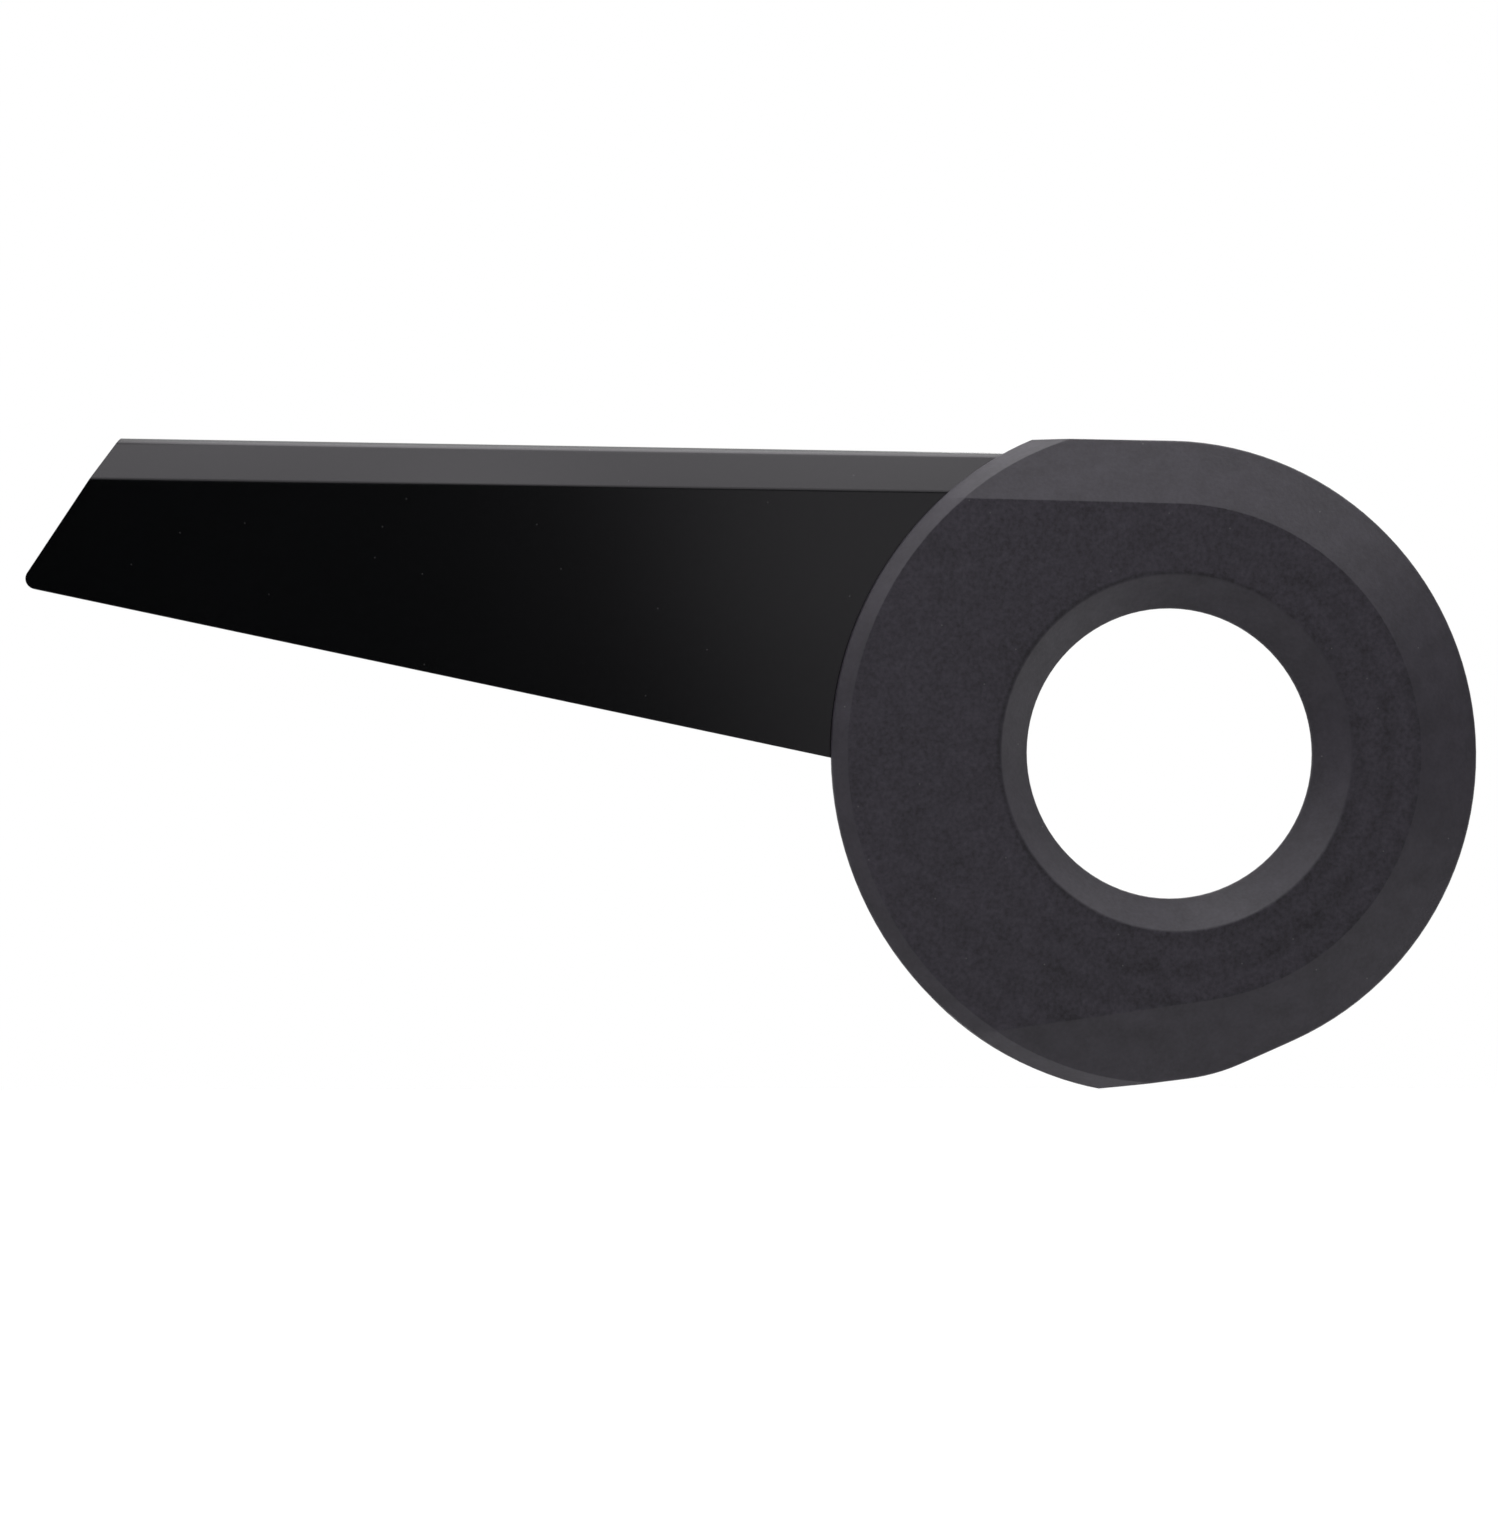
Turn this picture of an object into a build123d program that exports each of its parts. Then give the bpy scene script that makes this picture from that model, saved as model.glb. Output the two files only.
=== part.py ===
"""Bicycle chain guard: a moulded cover round the chainring and a folded sheet arm over the chain.

Millimetres. The origin is on the crank axis, in the plane where the three bracket bosses end.
+X points forward along the bicycle, +Z up and -Y outboard. Depths are measured inboard from the
cover's flat face, and sketches in the front view have X across and Z up.
"""

from build123d import *
from math import atan2, cos, degrees, radians, sin, sqrt, tan
import os

# Cover, front view. Angles are taken round the crank axis, counted from +X.
RIM_RADIUS = 98.05
REAR_STEP = 9.25
TAIL_STEP = 3.75
RIM_END_ANGLE = -66.0
TAIL_ANGLE = -83.0
TAIL_BEND_RADIUS = 57.0

# Flat face of the cover and the bevel round it
BEVEL_WIDTH = 20.75
BEVEL_SLOPE = 24.0
FACE_TOP_ANGLE = 89.45
FACE_TAIL_ANGLE = -81.8
REAR_CHAMFER = 4.6

# Section of the cover
COVER_DEPTH = 32.0
WALL = 2.5

# Dished crank opening
HOLE_RADIUS = 45.4
DISH_WIDTH = 10.0
DISH_DEPTH = 9.8
HOLE_LAND = 2.5

# Bosses for the frame bracket, with threaded inserts
BRACKET_ANGLES = (70.0, 190.0, 310.0)
BRACKET_BOSS = 12.0
BRACKET_BITE = 0.45
INSERT_DIAMETER = 7.0
INSERT_LENGTH = 9.0
INSERT_BORE = 4.2
INSERT_FIT = 0.05
INSERT_SINK = 0.3
BOSS_HOLE_SPARE = 3.0
RIB_TURNS = ((180,), (0, 90, 180), (180,))
RIB_THICKNESS = 2.0
RIB_REACH = 13.0
RIB_DEPTH = 15.0

# Folded sheet arm
ARM_DEPTH = 7.0
SHEET = 1.5
ARM_TOP_GAP = 1.65
ARM_BEVEL_HEIGHT = 13.4
ARM_REAR = 354.7
ARM_REAR_HEIGHT = 46.1
ARM_END_ANGLE = 57.5
ARM_BOTTOM_ANGLE = 11.44
ARM_CORNER_RADIUS = 3.2
ARM_FRONT = 6.0
ARM_DISH_GAP = 6.0
ARM_INBOARD = 1.0
ARM_LIP = 6.0
FOLD_RADIUS = 2.5
TOP_FOLD_RADIUS = 4.0

# Holes for a stay bracket in the arm's top flange
STAY_HOLE = 5.5
STAY_PITCH = 32.0
STAY_FROM_END = 24.0

# Screws that hold the arm in the cover
SCREW_BOSS = 8.0
SCREW_CORE = 3.3
SCREW_FIT = 0.1
SCREW_LENGTH = 7.6
SCREW_TIP = 1.0
HEAD_DIAMETER = 7.5
HEAD_HEIGHT = 2.5
HEAD_BEVEL = 0.9
RECESS_WIDTH = 1.1
RECESS_SPAN = 4.0
RECESS_DEPTH = 1.5
WASHER_DIAMETER = 9.0
WASHER_THICKNESS = 0.8
CLEARANCE_HOLE = 4.3
SKIN = 1.1
REAR_SCREW_ANGLES = (172.0, 150.0)
REAR_SCREW_INSET = 14.0
TOP_SCREW_X = (-46.0, -18.0)

# Places and sizes that follow from those above
REAR_RADIUS = RIM_RADIUS + REAR_STEP
TAIL_DISTANCE = RIM_RADIUS + TAIL_STEP
FACE_RADIUS = RIM_RADIUS - BEVEL_WIDTH
DISH_RADIUS = HOLE_RADIUS + DISH_WIDTH
DISH_SLOPE = degrees(atan2(DISH_DEPTH, DISH_WIDTH))
BRACKET_RADIUS = RIM_RADIUS - WALL - BRACKET_BOSS / 2 + BRACKET_BITE
ARM_TOP = RIM_RADIUS - WALL - ARM_TOP_GAP
ARM_BEVEL_LINE = ARM_TOP - ARM_BEVEL_HEIGHT
ARM_TOP_DEPTH = ARM_DEPTH + ARM_BEVEL_HEIGHT * tan(radians(BEVEL_SLOPE))
ARM_BACK_DEPTH = ARM_DEPTH + SHEET
TOP_SCREW_HEIGHT = (DISH_RADIUS + ARM_DISH_GAP + ARM_BEVEL_LINE) / 2
ARM_FLANGE_DEPTH = COVER_DEPTH - ARM_INBOARD
ARM_BOTTOM_REAR = ARM_TOP - ARM_REAR_HEIGHT
OVERRUN = 1.0
REACH = 2 * REAR_RADIUS


def at_depth(depth):
    """Front-view plane at a depth behind the cover's face, its normal pointing outboard."""
    return Plane.XZ.offset(COVER_DEPTH - depth)


def polar(radius, angle):
    """Front-view point at a radius and angle round the crank axis."""
    return (radius * cos(radians(angle)), radius * sin(radians(angle)))


def meet(angle_a, distance_a, angle_b, distance_b):
    """Where two straight edges cross, each given by its normal's angle and distance from the axis."""
    a, b = radians(angle_a), radians(angle_b)
    x = (distance_a * sin(b) - distance_b * sin(a)) / sin(b - a)
    z = (distance_b * cos(a) - distance_a * cos(b)) / sin(b - a)
    return (x, z)


def face_outline(radius):
    """Flat face: an arc in front, and two straight edges that run past the rear of the cover."""
    with BuildSketch() as face:
        with BuildLine():
            front = CenterArc((0, 0), radius, FACE_TAIL_ANGLE, FACE_TOP_ANGLE - FACE_TAIL_ANGLE)
            Polyline(
                front @ 1,
                meet(FACE_TOP_ANGLE, radius, 180, REACH),
                meet(FACE_TAIL_ANGLE, radius, 180, REACH),
                front @ 0,
            )
        make_face()
    return face.sketch


def cover_outline(inset, open_rear):
    """Outer edge of the cover, moved inwards, closed by its rear arc or open past it."""
    radius = RIM_RADIUS - inset
    tail = TAIL_DISTANCE - inset
    bend = meet(RIM_END_ANGLE, radius, TAIL_ANGLE, tail)
    with BuildSketch() as outline:
        with BuildLine():
            front = CenterArc((0, 0), radius, RIM_END_ANGLE, 90 - RIM_END_ANGLE)
            Polyline(
                front @ 1,
                (-REACH, radius),
                meet(TAIL_ANGLE, tail, 180, REACH),
                bend,
                front @ 0,
            )
        make_face()
        fillet(outline.vertices().sort_by_distance(bend)[0], TAIL_BEND_RADIUS - inset)
        if not open_rear:
            Circle(REAR_RADIUS - inset, mode=Mode.INTERSECT)
    return outline.sketch


def cover_form(inset, open_rear=False):
    """Solid form of the cover, with every side moved inwards: bevels over the outer edge."""
    bottom = COVER_DEPTH + (OVERRUN if inset else 0)
    face_radius = FACE_RADIUS - inset * tan(radians(BEVEL_SLOPE / 2))
    spread = (bottom - inset) / tan(radians(BEVEL_SLOPE))
    with BuildPart() as form:
        with BuildSketch(at_depth(inset)):
            add(face_outline(face_radius))
        with BuildSketch(at_depth(bottom)):
            add(face_outline(face_radius + spread))
        loft(ruled=True)
        with BuildSketch(at_depth(bottom)):
            add(cover_outline(inset, open_rear))
        extrude(amount=bottom, mode=Mode.INTERSECT)
        if not open_rear:
            on_rear_arc = [
                edge
                for edge in form.edges()
                if abs(abs(complex((edge @ 0.5).X, (edge @ 0.5).Z)) - REAR_RADIUS + inset) < 0.01
                and abs(edge.tangent_at(0.5).Y) < 0.9
                and (edge @ 0.5).Y < bottom - COVER_DEPTH - OVERRUN / 2
            ]
            chamfer(on_rear_arc, REAR_CHAMFER - inset * (2 - sqrt(2)))
    return form.part


def side_point(depth, height):
    """Point of a section across the bicycle, seen from behind: depth from the face, then Z."""
    return (depth - COVER_DEPTH, height)


os.makedirs("parts", exist_ok=True)
arm_screw_spots = [polar(REAR_RADIUS - REAR_SCREW_INSET, angle) for angle in REAR_SCREW_ANGLES]
arm_screw_spots += [(x, TOP_SCREW_HEIGHT) for x in TOP_SCREW_X]
bracket_spots = [polar(BRACKET_RADIUS, angle) for angle in BRACKET_ANGLES]
washer_back = ARM_BACK_DEPTH + WASHER_THICKNESS

# Room behind the rear lip, open for the arm and the chain. The lip ends on the arm's face and
# follows the bevels above and below it.
lip_fall = REACH * tan(radians(BEVEL_SLOPE))
tail_line = polar(FACE_RADIUS, FACE_TAIL_ANGLE)[1]
room_side = [
    side_point(ARM_DEPTH + lip_fall, tail_line - REACH),
    side_point(ARM_DEPTH, tail_line),
    side_point(ARM_DEPTH, ARM_BEVEL_LINE),
    side_point(ARM_DEPTH + lip_fall, ARM_BEVEL_LINE + REACH),
    side_point(REACH, ARM_BEVEL_LINE + REACH),
    side_point(REACH, tail_line - REACH),
]
with BuildPart() as rear_room:
    add(cover_form(WALL, open_rear=True))
    with BuildSketch(Plane.YZ):
        with BuildLine():
            Polyline(*room_side, close=True)
        make_face()
    extrude(amount=REACH, both=True, mode=Mode.INTERSECT)

# Bracket bosses that end inside the front wall, with the ribs that carry them: three round the
# rear one, which stands alone, and one on the inner side of each that joins the outer wall.
# A rib's turn is counted from the line that runs out from the crank axis through its boss.
with BuildPart() as bracket_bosses:
    with BuildSketch(at_depth(COVER_DEPTH)):
        with Locations(*bracket_spots):
            Circle(BRACKET_BOSS / 2)
    extrude(amount=COVER_DEPTH)
    for angle, spot, turns in zip(BRACKET_ANGLES, bracket_spots, RIB_TURNS):
        for turn in turns:
            across, up = polar(1, angle + turn)
            along_rib = Plane(origin=(spot[0], 0, spot[1]), x_dir=(across, 0, up), z_dir=(up, 0, -across))
            with BuildSketch(along_rib):
                with BuildLine():
                    Polyline(
                        (0, COVER_DEPTH),
                        (0, COVER_DEPTH - RIB_DEPTH),
                        (BRACKET_BOSS / 2, COVER_DEPTH - RIB_DEPTH),
                        (BRACKET_BOSS / 2 + RIB_REACH, COVER_DEPTH),
                        close=True,
                    )
                make_face()
            extrude(amount=RIB_THICKNESS / 2, both=True)
    add(cover_form(WALL / 2), mode=Mode.INTERSECT)

with BuildPart() as chainring_cover:
    add(cover_form(0))
    add(cover_form(WALL), mode=Mode.SUBTRACT)
    add(rear_room.part, mode=Mode.SUBTRACT)
    add(bracket_bosses.part)
    with BuildSketch(at_depth(ARM_DEPTH)):
        with Locations(*arm_screw_spots):
            Circle(SCREW_BOSS / 2)
    extrude(amount=ARM_DEPTH - WALL / 2)
    with BuildSketch(at_depth(0)):
        Circle(DISH_RADIUS)
    extrude(amount=-WALL, mode=Mode.SUBTRACT)
    with BuildSketch(Plane.XY):
        with BuildLine():
            Polyline(
                (DISH_RADIUS, -COVER_DEPTH),
                (HOLE_RADIUS, DISH_DEPTH - COVER_DEPTH),
                (HOLE_RADIUS, DISH_DEPTH + HOLE_LAND - COVER_DEPTH),
                (HOLE_RADIUS + WALL, DISH_DEPTH + HOLE_LAND - COVER_DEPTH),
                (HOLE_RADIUS + WALL, DISH_DEPTH + WALL * tan(radians(45 - DISH_SLOPE / 2)) - COVER_DEPTH),
                (DISH_RADIUS + WALL * tan(radians(DISH_SLOPE / 2)), WALL - COVER_DEPTH),
                (DISH_RADIUS + WALL, WALL - COVER_DEPTH),
                (DISH_RADIUS + WALL, -COVER_DEPTH),
                close=True,
            )
        make_face()
    revolve(axis=Axis.Y)
    with BuildSketch(at_depth(COVER_DEPTH)):
        with Locations(*bracket_spots):
            Circle(INSERT_DIAMETER / 2 + INSERT_FIT)
    extrude(amount=INSERT_SINK + INSERT_LENGTH + BOSS_HOLE_SPARE, mode=Mode.SUBTRACT)
    with BuildSketch(at_depth(ARM_DEPTH)):
        with Locations(*arm_screw_spots):
            Circle(SCREW_CORE / 2 + SCREW_FIT)
    extrude(amount=ARM_DEPTH - SKIN, mode=Mode.SUBTRACT)
chainring_cover.part.label = "chainring_cover"
export_step(chainring_cover.part, "parts/chainring_cover.step")

# Arm: one strip folded four ways along its length, then trimmed to its outline
rear_top_x = -ARM_REAR + ARM_REAR_HEIGHT / tan(radians(ARM_END_ANGLE))
flange_middle = (ARM_TOP_DEPTH + ARM_FLANGE_DEPTH) / 2 - COVER_DEPTH
stay_spots = [(rear_top_x + STAY_FROM_END + along, flange_middle) for along in (0, STAY_PITCH)]
with BuildPart() as guard_arm:
    with BuildSketch(Plane.YZ):
        with BuildLine():
            fold = FilletPolyline(
                side_point(ARM_DEPTH, -RIM_RADIUS),
                side_point(ARM_DEPTH, ARM_BEVEL_LINE),
                side_point(ARM_TOP_DEPTH, ARM_TOP),
                side_point(ARM_FLANGE_DEPTH, ARM_TOP),
                side_point(ARM_FLANGE_DEPTH, ARM_TOP - ARM_LIP),
                radius=[FOLD_RADIUS, TOP_FOLD_RADIUS, FOLD_RADIUS],
            )
            offset(fold, amount=SHEET, side=Side.RIGHT)
        make_face()
    extrude(amount=-ARM_REAR - OVERRUN)
    with BuildSketch(Plane.XZ) as arm_outline:
        with BuildLine():
            rise = 2 * ARM_REAR_HEIGHT
            Polyline(
                (-ARM_REAR, ARM_BOTTOM_REAR),
                (-ARM_REAR + rise / tan(radians(ARM_END_ANGLE)), ARM_BOTTOM_REAR + rise),
                (-ARM_FRONT, ARM_BOTTOM_REAR + rise),
                (-ARM_FRONT, ARM_BOTTOM_REAR - (ARM_REAR - ARM_FRONT) * tan(radians(ARM_BOTTOM_ANGLE))),
                close=True,
            )
        make_face()
        fillet(arm_outline.vertices().sort_by(Axis.X)[0], ARM_CORNER_RADIUS)
        Circle(DISH_RADIUS + ARM_DISH_GAP, mode=Mode.SUBTRACT)
    extrude(amount=COVER_DEPTH, mode=Mode.INTERSECT)
    with BuildSketch(at_depth(0)):
        with Locations(*arm_screw_spots):
            Circle(CLEARANCE_HOLE / 2)
    extrude(amount=-ARM_BACK_DEPTH - SHEET, mode=Mode.SUBTRACT)
    with BuildSketch(Plane.XY.offset(ARM_TOP)):
        with Locations(*stay_spots):
            Circle(STAY_HOLE / 2)
    extrude(amount=-2 * SHEET, mode=Mode.SUBTRACT)
guard_arm.part.label = "guard_arm"
export_step(guard_arm.part, "parts/guard_arm.step")

for number, spot in enumerate(arm_screw_spots, start=1):
    with BuildPart() as washer:
        with BuildSketch(at_depth(ARM_BACK_DEPTH)):
            with Locations(spot):
                Circle(WASHER_DIAMETER / 2)
                Circle(CLEARANCE_HOLE / 2, mode=Mode.SUBTRACT)
        extrude(amount=-WASHER_THICKNESS)
    washer.part.label = f"arm_washer_{number}"
    export_step(washer.part, f"parts/arm_washer_{number}.step")

    with BuildPart() as screw:
        with BuildSketch(at_depth(washer_back)):
            with Locations(spot):
                Circle(SCREW_CORE / 2)
        extrude(amount=SCREW_LENGTH)
        chamfer(screw.edges().group_by(Axis.Y)[0], SCREW_TIP, SCREW_TIP / 2)
        with BuildSketch(at_depth(washer_back)):
            with Locations(spot):
                Circle(HEAD_DIAMETER / 2)
        extrude(amount=-HEAD_HEIGHT)
        chamfer(screw.edges().group_by(Axis.Y)[-1], HEAD_BEVEL)
        with BuildSketch(at_depth(washer_back + HEAD_HEIGHT)):
            with Locations(spot):
                Rectangle(RECESS_SPAN, RECESS_WIDTH)
                Rectangle(RECESS_WIDTH, RECESS_SPAN)
        extrude(amount=RECESS_DEPTH, mode=Mode.SUBTRACT)
    screw.part.label = f"arm_screw_{number}"
    export_step(screw.part, f"parts/arm_screw_{number}.step")

for number, spot in enumerate(bracket_spots, start=1):
    with BuildPart() as insert:
        with BuildSketch(at_depth(COVER_DEPTH - INSERT_SINK)):
            with Locations(spot):
                Circle(INSERT_DIAMETER / 2)
                Circle(INSERT_BORE / 2, mode=Mode.SUBTRACT)
        extrude(amount=INSERT_LENGTH)
    insert.part.label = f"bracket_insert_{number}"
    export_step(insert.part, f"parts/bracket_insert_{number}.step")
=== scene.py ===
"""Bicycle chain guard in a white studio: finishes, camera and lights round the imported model, in metres."""

from collections import Counter
from math import cos, hypot, pi, radians, sin, tan

import bmesh
import bpy
from mathutils import Matrix, Vector


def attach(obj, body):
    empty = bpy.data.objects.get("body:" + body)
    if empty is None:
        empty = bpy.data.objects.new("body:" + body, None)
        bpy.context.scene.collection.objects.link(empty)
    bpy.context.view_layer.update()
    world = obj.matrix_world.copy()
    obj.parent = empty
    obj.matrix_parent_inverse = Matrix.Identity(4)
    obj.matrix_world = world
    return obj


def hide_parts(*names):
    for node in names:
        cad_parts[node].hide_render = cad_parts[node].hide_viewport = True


WHITE = (1.0, 1.0, 1.0, 1.0)

# Camera: the eye and its axes, fitted to the outline of the guard
EYE = Vector((-0.22184, -1.01576, -0.02367))
LOOK = Vector((0.08969, 0.99578, 0.01949)).normalized()
UP = Vector((-0.00767, -0.01876, 0.99979))
FOCAL_PIXELS = 3228.0
PICTURE_HEIGHT = 1527
SENSOR = 36.0
NEAREST = 0.01

# Rounded edges of the cover: their radius and steps, and the angles that tell flat, smooth and sharp apart
MOULDED_EDGE = 0.0012
EDGE_STEPS = 4
WELD = 1e-6
FLAT_ANGLE = radians(0.4)
SHADE_ANGLE = radians(20)
EDGE_ANGLE = radians(30)

# Where those edges run: by distance from the crank axis, and by how far a wall's normal may point outboard
RIM_INNER = 0.0965
DISH_OUTER = 0.0565
LAND_OUTER = 0.0465
WALL_LEAN = 0.05

# Noise in the finishes: scale, detail and roughness
GRAIN = (760.0, 2.0, 0.6)
CLOUD = (110.0, 4.0, 0.6)
RING_PATCHES = (154.0, 2.0, 0.5)
ARM_WAVE = (9.0, 2.0, 0.5)
ARM_GRAIN = (2200.0, 2.0, 0.5)
STREAKS = (900.0, 4.0, 0.6)

# The middle of each noise, where most of its values lie
NOISE_SPAN = (0.3, 0.7)
GRAIN_SPAN = (0.2, 0.8)
PATCH_SPAN = (0.35, 0.65)

# Relief: depth, strength, and the radius that it gives to the edges under it
COVER_RELIEF = (0.00020, 0.5, 0.0005)
ARM_RELIEF = (0.00004, 0.15, 0.0004)
METAL_RELIEF = (0.00003, 0.2, 0.0002)
RELIEF_SAMPLES = 4

# Cover: gloss, the tones of grain and clouds, and colours and roughness from the darkest tone to the palest
COVER_GLOSS = 0.385
GRAIN_TONES = (-0.33, 0.47)
CLOUD_TONES = (-0.15, 0.15)
TONE_SPAN = (-0.5, 0.5)
COVER_COLOURS = ((0.0109, 0.0095, 0.0133, 1.0), (0.0450, 0.0391, 0.0530, 1.0))
COVER_ROUGHNESS = (0.58, 0.50)

# The share of grain, moulding rings and painted shade that is left on the slopes, and the normals between
# which it falls to that
SLOPE_SHARE = 0.35
FLAT_TO_SLOPE = (-0.99, -0.94)

# Marks round the crank: moulding rings, strongest to the lower front, whose darkening there is partly painted
# shade, and a painted shade line outside the dish on the other side
LOWER_FRONT = (0.8, 0.0, -0.6)
RING_AND_SHADE_DEPTH = 0.30
RING_START = 0.062
RING_PITCH = 0.0105
RING_SHADE_SIDES = (-0.6, 0.6)
RING_SHADE_SHARES = (0.1, 1.0)
PATCH_SHARES = (0.2, 1.0)
# Painted shade line outside the dish: its radius, depth, half widths and the sides where it shows
SHADE_LINE_RADIUS = 0.0560
SHADE_LINE_DEPTH = 1.1
SHADE_LINE_HALF_WIDTHS = (0.0002, 0.0010)
SHADE_LINE_SIDES = (-0.3, 0.2)

# Arm
ARM_GLOSS = 0.40
ARM_TINT = (0.98, 0.945, 1.0, 1.0)
ARM_COLOURS = ((0.0002, 0.0005, 0.0006, 1.0), (0.0005, 0.0008, 0.0010, 1.0))
ARM_ROUGHNESS = (0.19, 0.22)

# Dust: a speck's radius, the part of it that is full, the distance between specks, and their colours
SPECK = 0.00032
SPECK_CORE = 0.4
SPECK_PITCH = 0.03
COVER_DUST = (0.080, 0.077, 0.084, 1.0)
ARM_DUST = (0.035, 0.035, 0.036, 1.0)

# Small metal parts, by the start of their nodes' names: the finish's name, two colours and a roughness
METALS = {
    "arm_screw": ("screw_steel", (0.50, 0.50, 0.49, 1.0), (0.62, 0.62, 0.60, 1.0), 0.32),
    "arm_washer": ("washer_steel", (0.48, 0.48, 0.47, 1.0), (0.60, 0.60, 0.59, 1.0), 0.38),
    "bracket_insert": ("insert_brass", (0.60, 0.44, 0.20, 1.0), (0.72, 0.55, 0.28, 1.0), 0.35),
}
METAL_ROUGHNESS_SPREAD = 0.05

# Studio: the floor, how bright the room is beside the white behind the guard, and where that white begins
FLOOR_HEIGHT = -0.35
FLOOR_SIZE = 6.0
FLOOR_COLOUR = (0.8, 0.8, 0.8, 1.0)
FLOOR_ROUGHNESS = 0.9
FLOOR_GLOW = 0.92
ROOM_LEVEL = 0.02
BACKDROP_EDGE = (-0.3, 0.05)

# Square lamps that face this point: degrees round it from the camera's side and above it, watts, distance
# and side. The opening lamps shine through the crank opening on the dish, and the arm mirrors the last three.
TARGET = Vector((-0.12, -0.02, 0.0))
LAMPS = (
    ("overhead", 0, 88, 5.7, 1.4, 0.7),
    ("front_top", 0, 70, 3.7, 1.4, 0.7),
    ("back_top", 180, 70, 2.8, 1.4, 0.7),
    ("front_high", 15, 45, 2.5, 1.4, 0.7),
    ("left_front_high", -45, 45, 1.9, 1.4, 0.7),
    ("left_high", -75, 45, 4.6, 1.4, 0.7),
    ("right_high", 75, 45, 5.5, 1.4, 0.7),
    ("back_right", 150, 30, 8.2, 1.4, 0.7),
    ("left", -80, 15, 1.4, 1.4, 0.7),
    ("near_left", -30, 45, 0.53, 0.7, 0.35),
    ("right_low", 84, -22, 0.09, 0.5, 0.15),
    ("opening_low", 115, -32, 0.18, 0.5, 0.15),
    ("opening_middle", 109, -9, 0.15, 0.5, 0.15),
    ("mirrored_high", 10, 12, 0.34, 1.4, 0.35),
    ("mirrored_low", 12.7, -2, 0.27, 1.4, 0.35),
    ("mirrored_middle", 0, 12, 0.02, 1.4, 0.35),
)

# Sockets of the colour mix node, whose names repeat
MIX_FACTOR, MIX_FIRST, MIX_SECOND, MIX_RESULT = 0, 6, 7, 2

# Room that a node takes up when a tree is laid out
NODE_WIDTH = 200
NODE_HEIGHT = 300


def add_object(name, data):
    """An object with its data, put in the scene."""
    made = bpy.data.objects.new(name, data)
    bpy.context.scene.collection.objects.link(made)
    return made


def node(tree, kind, **settings):
    """A shader node with its plain settings."""
    made = tree.nodes.new(kind)
    for name, value in settings.items():
        setattr(made, name, value)
    return made


def feed(tree, target, value):
    """Links an input to a socket, or sets it to a plain value."""
    if isinstance(value, bpy.types.NodeSocket):
        tree.links.new(value, target)
    else:
        target.default_value = value


def lay_out(tree):
    """Sets a tree's nodes in columns, each to the left of the nodes that it feeds."""
    columns = Counter()
    for _ in tree.nodes:
        for link in tree.links:
            source, fed = link.from_node.name, link.to_node.name
            columns[source] = max(columns[source], columns[fed] + 1)
    rows = Counter()
    for made in tree.nodes:
        column = columns[made.name]
        made.location = (-NODE_WIDTH * column, -NODE_HEIGHT * rows[column])
        rows[column] += 1


def material(name):
    """An empty node material with its output and one principled shader."""
    made = bpy.data.materials.new(name)
    made.use_nodes = True
    tree = made.node_tree
    tree.nodes.clear()
    output = node(tree, "ShaderNodeOutputMaterial")
    shader = node(tree, "ShaderNodeBsdfPrincipled")
    feed(tree, output.inputs["Surface"], shader.outputs["BSDF"])
    return made, tree, shader


def coordinate(tree, name):
    """A coordinate of the surface, or of a direction in the world."""
    return node(tree, "ShaderNodeTexCoord").outputs[name]


def components(tree, vector):
    """The X, Y and Z of a vector, by those names."""
    apart = node(tree, "ShaderNodeSeparateXYZ")
    feed(tree, apart.inputs["Vector"], vector)
    return apart.outputs


def noise(tree, kind):
    """Noise over the piece's own place, in metres, from its scale, detail and roughness."""
    made = node(tree, "ShaderNodeTexNoise")
    for name, value in zip(("Scale", "Detail", "Roughness"), kind):
        made.inputs[name].default_value = value
    feed(tree, made.inputs["Vector"], coordinate(tree, "Object"))
    return made.outputs["Fac"]


def spread(tree, value, span, results):
    """A value's place in a span, given as the same place between two results, which it never passes."""
    made = node(tree, "ShaderNodeMapRange")
    for name, limit in zip(("From Min", "From Max", "To Min", "To Max"), (*span, *results)):
        made.inputs[name].default_value = limit
    feed(tree, made.inputs["Value"], value)
    return made.outputs["Result"]


def maths(tree, operation, first, second=None, kind="ShaderNodeMath", result="Value"):
    """What an operation makes of one or two sockets or plain values."""
    made = node(tree, kind, operation=operation)
    feed(tree, made.inputs[0], first)
    if second is not None:
        feed(tree, made.inputs[1], second)
    return made.outputs[result]


def vector_maths(tree, operation, result, first, second=None):
    """What an operation makes of one or two vectors: its Vector or its Value."""
    return maths(tree, operation, first, second, "ShaderNodeVectorMath", result)


def blend_colours(tree, factor, first, second):
    """A colour between two, by a factor."""
    made = node(tree, "ShaderNodeMix", data_type="RGBA")
    for number, value in ((MIX_FACTOR, factor), (MIX_FIRST, first), (MIX_SECOND, second)):
        feed(tree, made.inputs[number], value)
    return made.outputs[MIX_RESULT]


def on_flat_face(tree):
    """1 where the piece faces straight outboard, less where it slopes away."""
    normal = components(tree, coordinate(tree, "Normal"))
    return spread(tree, normal["Y"], FLAT_TO_SLOPE, (1.0, SLOPE_SHARE))


def relief(tree, shader, height, distance, strength, edge_radius):
    """Fine relief on the surface, over edges rounded by a radius."""
    rounded = node(tree, "ShaderNodeBevel", samples=RELIEF_SAMPLES)
    rounded.inputs["Radius"].default_value = edge_radius
    bump = node(tree, "ShaderNodeBump")
    bump.inputs["Strength"].default_value = strength
    bump.inputs["Distance"].default_value = distance
    feed(tree, bump.inputs["Height"], height)
    feed(tree, bump.inputs["Normal"], rounded.outputs["Normal"])
    feed(tree, shader.inputs["Normal"], bump.outputs["Normal"])


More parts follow.
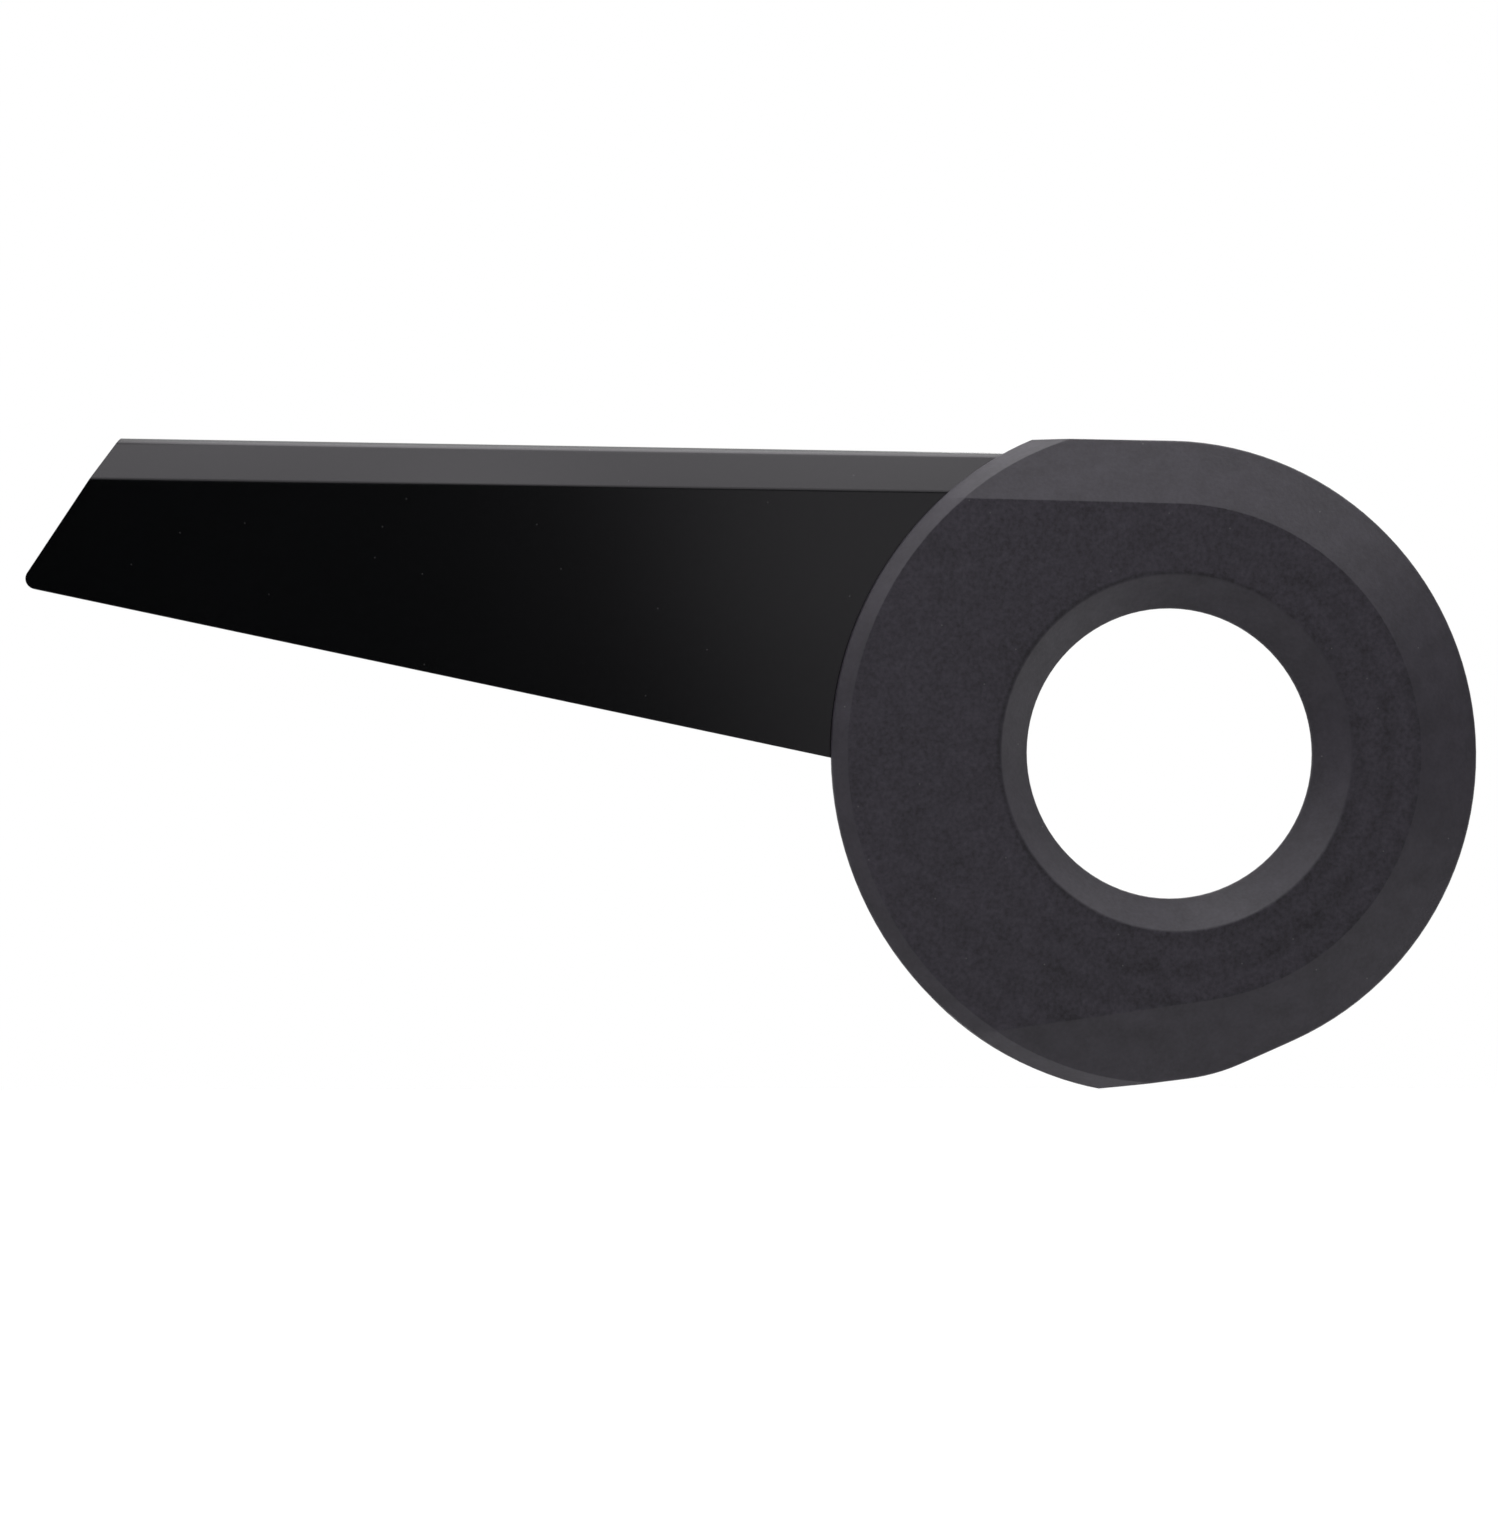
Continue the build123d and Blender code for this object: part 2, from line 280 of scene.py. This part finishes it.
def specks(tree):
    """1 inside small scattered dots of dust, over the front view."""
    where = components(tree, coordinate(tree, "Object"))
    across = node(tree, "ShaderNodeCombineXYZ")
    feed(tree, across.inputs["X"], where["X"])
    feed(tree, across.inputs["Y"], where["Z"])
    dots = node(tree, "ShaderNodeTexVoronoi", voronoi_dimensions="2D")
    dots.inputs["Scale"].default_value = 1 / SPECK_PITCH
    feed(tree, dots.inputs["Vector"], across.outputs["Vector"])
    edge = (SPECK_CORE * SPECK / SPECK_PITCH, SPECK / SPECK_PITCH)
    return spread(tree, dots.outputs["Distance"], edge, (1.0, 0.0))


def round_the_crank(tree):
    """A point's distance from the crank axis, and how far round it lies to the lower front, -1 to 1."""
    front = vector_maths(tree, "MULTIPLY", "Vector", coordinate(tree, "Object"), (1.0, 0.0, 1.0))
    radius = vector_maths(tree, "LENGTH", "Value", front)
    way = vector_maths(tree, "NORMALIZE", "Vector", front)
    side = vector_maths(tree, "DOT_PRODUCT", "Value", way, LOWER_FRONT)
    return radius, side


def rings_and_painted_shade(tree, radius, side):
    """Dark moulding rings round the crank axis, 0 to -1, patchy and strongest towards the lower front, so
    partly painted shade that darkens the face there.
    """
    start = maths(tree, "SUBTRACT", radius, RING_START)
    wave = maths(tree, "COSINE", maths(tree, "MULTIPLY", start, 2 * pi / RING_PITCH))
    ring = spread(tree, wave, (-1.0, 1.0), (-1.0, 0.0))
    # Painted shade: the rings darken the face more and more towards the lower front.
    share = spread(tree, side, RING_SHADE_SIDES, RING_SHADE_SHARES)
    patches = spread(tree, noise(tree, RING_PATCHES), PATCH_SPAN, PATCH_SHARES)
    return maths(tree, "MULTIPLY", maths(tree, "MULTIPLY", ring, share), patches)


def painted_shade_line(tree, radius, side):
    """Painted shade: a thin dark line just outside the dish, below 0, on the side away from the lower front.
    """
    off = maths(tree, "ABSOLUTE", maths(tree, "SUBTRACT", radius, SHADE_LINE_RADIUS))
    shade_line = spread(tree, off, SHADE_LINE_HALF_WIDTHS, (-SHADE_LINE_DEPTH, 0.0))
    behind = spread(tree, side, SHADE_LINE_SIDES, (1.0, 0.0))
    return maths(tree, "MULTIPLY", shade_line, behind)


def cover_plastic():
    """Dusty black moulded plastic: grained and faintly ringed on the flat face, with painted shade towards
    the lower front and a painted shade line outside the dish, smoother on the slopes.
    """
    made, tree, shader = material("cover_plastic")
    shader.inputs["Specular IOR Level"].default_value = COVER_GLOSS
    flat = on_flat_face(tree)
    grain = maths(tree, "MULTIPLY", spread(tree, noise(tree, GRAIN), GRAIN_SPAN, GRAIN_TONES), flat)
    cloud = spread(tree, noise(tree, CLOUD), NOISE_SPAN, CLOUD_TONES)
    radius, side = round_the_crank(tree)
    # The cover's marks: moulding rings that are partly painted shade, and a painted shade line outside the
    # dish.
    rings_and_shade = maths(tree, "ADD", rings_and_painted_shade(tree, radius, side), painted_shade_line(tree, radius, side))
    rings_and_shade_on_face = maths(tree, "MULTIPLY", maths(tree, "MULTIPLY", rings_and_shade, RING_AND_SHADE_DEPTH), flat)
    tone = maths(tree, "ADD", maths(tree, "ADD", grain, cloud), rings_and_shade_on_face)
    black = blend_colours(tree, spread(tree, tone, TONE_SPAN, (0.0, 1.0)), *COVER_COLOURS)
    feed(tree, shader.inputs["Base Color"], blend_colours(tree, specks(tree), black, COVER_DUST))
    feed(tree, shader.inputs["Roughness"], spread(tree, tone, TONE_SPAN, COVER_ROUGHNESS))
    relief(tree, shader, grain, *COVER_RELIEF)
    lay_out(tree)
    return made


def arm_sheet():
    """Black coated sheet, smooth, with a faint wave and a few specks of dust."""
    made, tree, shader = material("arm_sheet")
    shader.inputs["Specular IOR Level"].default_value = ARM_GLOSS
    shader.inputs["Specular Tint"].default_value = ARM_TINT
    wave = noise(tree, ARM_WAVE)
    black = blend_colours(tree, spread(tree, wave, NOISE_SPAN, (0.0, 1.0)), *ARM_COLOURS)
    feed(tree, shader.inputs["Base Color"], blend_colours(tree, specks(tree), black, ARM_DUST))
    feed(tree, shader.inputs["Roughness"], spread(tree, wave, NOISE_SPAN, ARM_ROUGHNESS))
    relief(tree, shader, noise(tree, ARM_GRAIN), *ARM_RELIEF)
    lay_out(tree)
    return made


def turned_metal(name, first, second, roughness):
    """Plated or brass small part with faint turning marks."""
    made, tree, shader = material(name)
    shader.inputs["Metallic"].default_value = 1.0
    streaks = noise(tree, STREAKS)
    metal = blend_colours(tree, spread(tree, streaks, NOISE_SPAN, (0.0, 1.0)), first, second)
    feed(tree, shader.inputs["Base Color"], metal)
    limits = (roughness - METAL_ROUGHNESS_SPREAD, roughness + METAL_ROUGHNESS_SPREAD)
    feed(tree, shader.inputs["Roughness"], spread(tree, streaks, NOISE_SPAN, limits))
    relief(tree, shader, streaks, *METAL_RELIEF)
    lay_out(tree)
    return made


def round_edges(source, name, radius, chosen):
    """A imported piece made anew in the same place, its chosen sharp edges rounded to a radius."""
    work = bmesh.new()
    work.from_mesh(source.data)
    bmesh.ops.remove_doubles(work, verts=work.verts, dist=WELD)
    bmesh.ops.dissolve_limit(work, angle_limit=FLAT_ANGLE, verts=work.verts, edges=work.edges)
    share = work.edges.layers.float.new("bevel_weight_edge")
    for edge in work.edges:
        turn = edge.calc_face_angle(0)
        rounded = turn > EDGE_ANGLE and chosen(edge)
        edge[share] = min(1.0, tan(turn / 2)) if rounded else 0.0
        edge.smooth = rounded or turn < SHADE_ANGLE
    for face in work.faces:
        face.smooth = True
    mesh = bpy.data.meshes.new(name)
    work.to_mesh(mesh)
    work.free()
    piece = add_object(name, mesh)
    rounding = piece.modifiers.new("rounding", "BEVEL")
    rounding.limit_method = "WEIGHT"
    rounding.width = radius
    rounding.segments = EDGE_STEPS
    rounding.use_clamp_overlap = False
    rounding.loop_slide = False
    weighted = piece.modifiers.new("weighted", "WEIGHTED_NORMAL")
    weighted.keep_sharp = True
    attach(piece, "root")
    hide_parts(source.name)
    return piece


def on_cover_rim(edge):
    """Whether an edge of the cover is the front edge of its outer wall or one of the crank opening's."""
    middle = (edge.verts[0].co + edge.verts[1].co) / 2
    radius = hypot(middle.x, middle.z)
    walls = [face for face in edge.link_faces if abs(face.normal.y) < WALL_LEAN]
    fronts = [face for face in edge.link_faces if face.normal.y < -WALL_LEAN]
    on_rim = radius > RIM_INNER and len(walls) == 1 and len(fronts) == 1
    on_dish = radius < DISH_OUTER and len(fronts) == len(edge.link_faces)
    on_land = radius < LAND_OUTER
    return on_rim or on_dish or on_land


def finish_nodes(frame):
    """Gives every carried-over piece its finish, and the cover its rounded edges."""
    finishes = {"chainring_cover": cover_plastic(), "guard_arm": arm_sheet()}
    for start, facts in METALS.items():
        finishes[start] = turned_metal(*facts)
    for name, piece in frame["nodes"].items():
        kind = next(start for start in finishes if name.startswith(start))
        for slot in piece.material_slots:
            slot.material = finishes[kind]
    cover = round_edges(frame["nodes"]["chainring_cover"], "moulded_cover", MOULDED_EDGE, on_cover_rim)
    cover.data.materials.append(finishes["chainring_cover"])


def add_camera():
    """The photograph's view."""
    lens = bpy.data.cameras.new("camera")
    lens.sensor_width = SENSOR
    lens.lens = SENSOR * FOCAL_PIXELS / PICTURE_HEIGHT
    lens.clip_start = NEAREST
    camera = add_object("camera", lens)
    right = LOOK.cross(UP).normalized()
    upward = right.cross(LOOK).normalized()
    turn = Matrix((right, upward, -LOOK)).transposed()
    camera.matrix_world = Matrix.Translation(EYE) @ turn.to_4x4()
    bpy.context.scene.camera = camera


def add_world():
    """White all round for the camera, white behind the guard in reflections, and else a dim room."""
    world = bpy.data.worlds.new("studio")
    bpy.context.scene.world = world
    world.use_nodes = True
    tree = world.node_tree
    tree.nodes.clear()
    output = node(tree, "ShaderNodeOutputWorld")
    ray = node(tree, "ShaderNodeLightPath").outputs
    direction = components(tree, coordinate(tree, "Generated"))
    behind = spread(tree, direction["Y"], BACKDROP_EDGE, (ROOM_LEVEL, 1.0))
    mirrored = maths(tree, "MAXIMUM", ray["Is Glossy Ray"], ROOM_LEVEL)
    seen = maths(tree, "MAXIMUM", ray["Is Camera Ray"], ray["Is Transmission Ray"])
    choose = node(tree, "ShaderNodeMixShader")
    feed(tree, choose.inputs["Fac"], seen)
    for target, strength in zip(choose.inputs[1:], (maths(tree, "MULTIPLY", behind, mirrored), 1.0)):
        shader = node(tree, "ShaderNodeBackground")
        shader.inputs["Color"].default_value = WHITE
        feed(tree, shader.inputs["Strength"], strength)
        feed(tree, target, shader.outputs["Background"])
    feed(tree, output.inputs["Surface"], choose.outputs["Shader"])
    lay_out(tree)


def add_floor():
    """A plain pale floor well below the guard, which only the camera sees glow."""
    mesh = bpy.data.meshes.new("floor")
    half = FLOOR_SIZE / 2
    corners = ((-half, -half), (half, -half), (half, half), (-half, half))
    mesh.from_pydata([(x, y, FLOOR_HEIGHT) for x, y in corners], [], [(0, 1, 2, 3)])
    floor = add_object("floor", mesh)
    made, tree, shader = material("floor")
    shader.inputs["Base Color"].default_value = FLOOR_COLOUR
    shader.inputs["Roughness"].default_value = FLOOR_ROUGHNESS
    shader.inputs["Emission Color"].default_value = WHITE
    ray = node(tree, "ShaderNodeLightPath").outputs
    glow = maths(tree, "MULTIPLY", ray["Is Camera Ray"], FLOOR_GLOW)
    feed(tree, shader.inputs["Emission Strength"], glow)
    lay_out(tree)
    mesh.materials.append(made)


def add_lamps():
    """Soft panels over the guard and at its sides, with weaker ones low and in front."""
    for name, around, above, power, distance, side in LAMPS:
        data = bpy.data.lights.new(name, "AREA")
        data.shape = "SQUARE"
        data.size = side
        data.energy = power
        lamp = add_object(name, data)
        turn, rise = radians(around), radians(above)
        way = Vector((sin(turn) * cos(rise), -cos(turn) * cos(rise), sin(rise)))
        lamp.visible_camera = False
        lamp.location = TARGET + distance * way
        lamp.rotation_euler = way.to_track_quat("Z", "Y").to_euler()


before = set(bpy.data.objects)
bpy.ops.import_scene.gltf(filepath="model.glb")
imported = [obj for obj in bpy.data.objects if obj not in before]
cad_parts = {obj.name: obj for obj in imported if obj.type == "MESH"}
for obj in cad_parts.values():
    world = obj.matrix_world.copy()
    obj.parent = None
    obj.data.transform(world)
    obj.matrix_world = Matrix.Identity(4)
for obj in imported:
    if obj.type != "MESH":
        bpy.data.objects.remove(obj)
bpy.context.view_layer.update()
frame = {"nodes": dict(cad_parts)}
bpy.context.scene.view_settings.view_transform = "Standard"
finish_nodes(frame)
add_camera()
add_world()
add_floor()
add_lamps()
